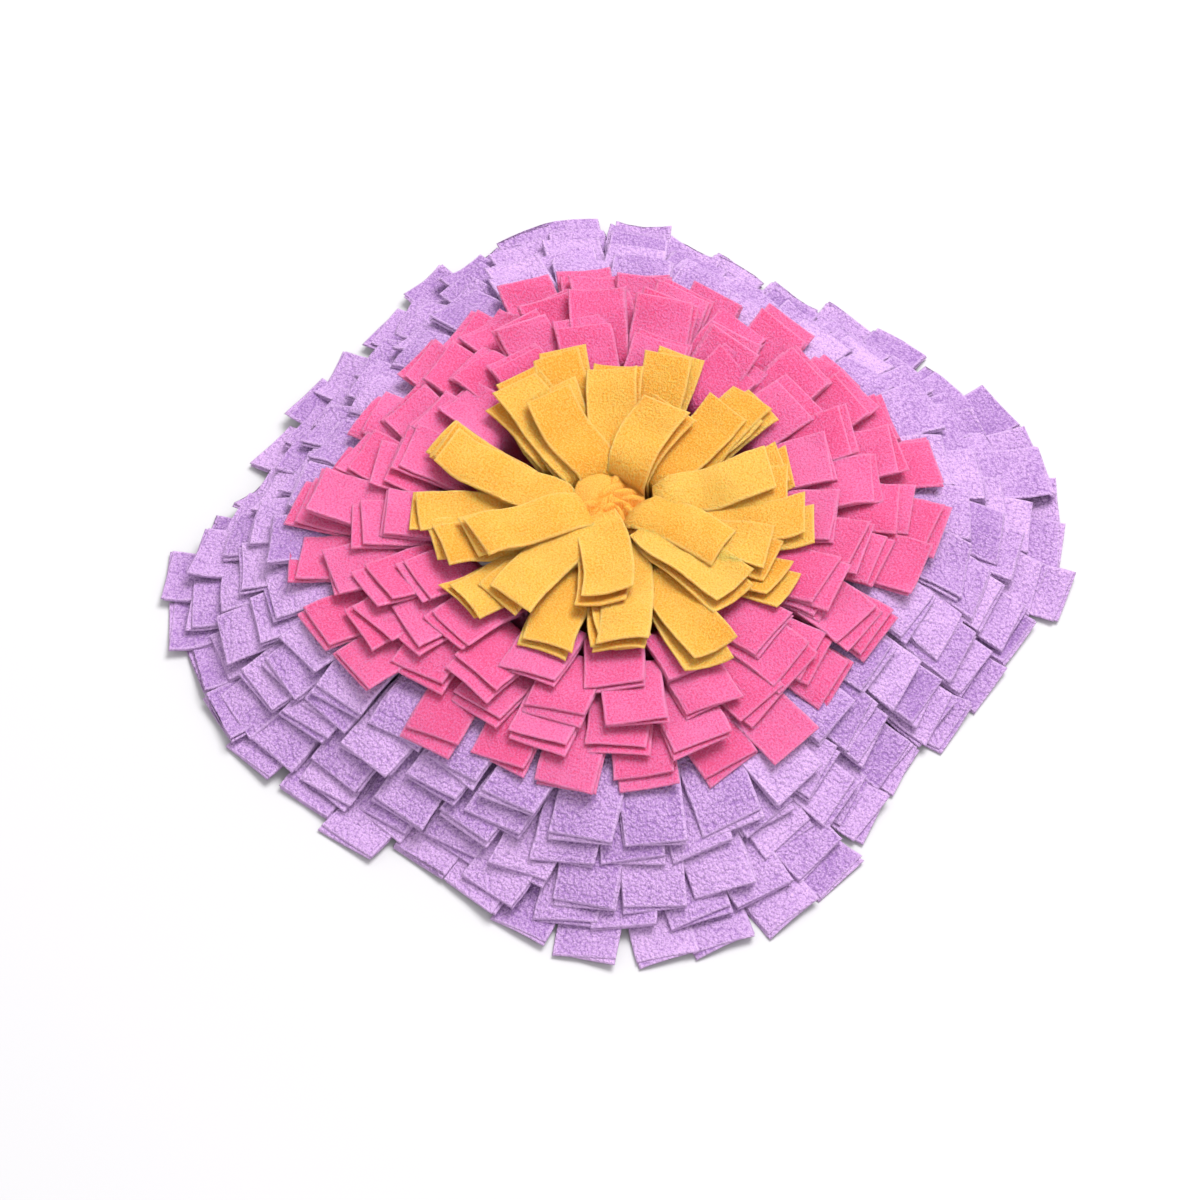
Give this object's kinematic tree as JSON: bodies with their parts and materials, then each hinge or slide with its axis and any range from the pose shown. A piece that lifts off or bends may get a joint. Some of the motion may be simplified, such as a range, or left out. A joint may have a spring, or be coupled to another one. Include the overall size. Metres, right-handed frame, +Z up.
{
  "type": "snuffle mat",
  "caption": "Square pet snuffle mat of soft fleece: rings of flat cut strips fan outward over a base cloth, shingle-like, and rise to a flower of long strips in the middle.",
  "frame": {"origin": "middle of the base cloth's underside, on the surface that the mat rests on", "axes": "+Z up out of the mat; +Y along the slightly longer way of the mat, +X along the shorter"},
  "size_m": [0.4424, 0.4669, 0.0748],
  "materials": {
    "lilac_fleece": "pebbly napped fleece, matt",
    "pink_fleece": "fine napped fleece, matt",
    "yellow_fleece": "fine napped fleece, matt",
    "backing_cloth": "plain off-white cloth, matt"
  },
  "bodies": {
    "root": {"base_cloth": "backing_cloth", "lilac_ring_1": "lilac_fleece", "lilac_ring_2": "lilac_fleece", "lilac_ring_3": "lilac_fleece", "lilac_ring_4": "lilac_fleece", "lilac_ring_5": "lilac_fleece", "pink_ring_1": "pink_fleece", "pink_ring_2": "pink_fleece", "pink_ring_3": "pink_fleece", "pink_ring_4": "pink_fleece", "yellow_ring_1": "yellow_fleece", "yellow_ring_2": "yellow_fleece", "yellow_ring_3": "yellow_fleece", "centre_coil": "yellow_fleece"}
  },
  "joints": []
}
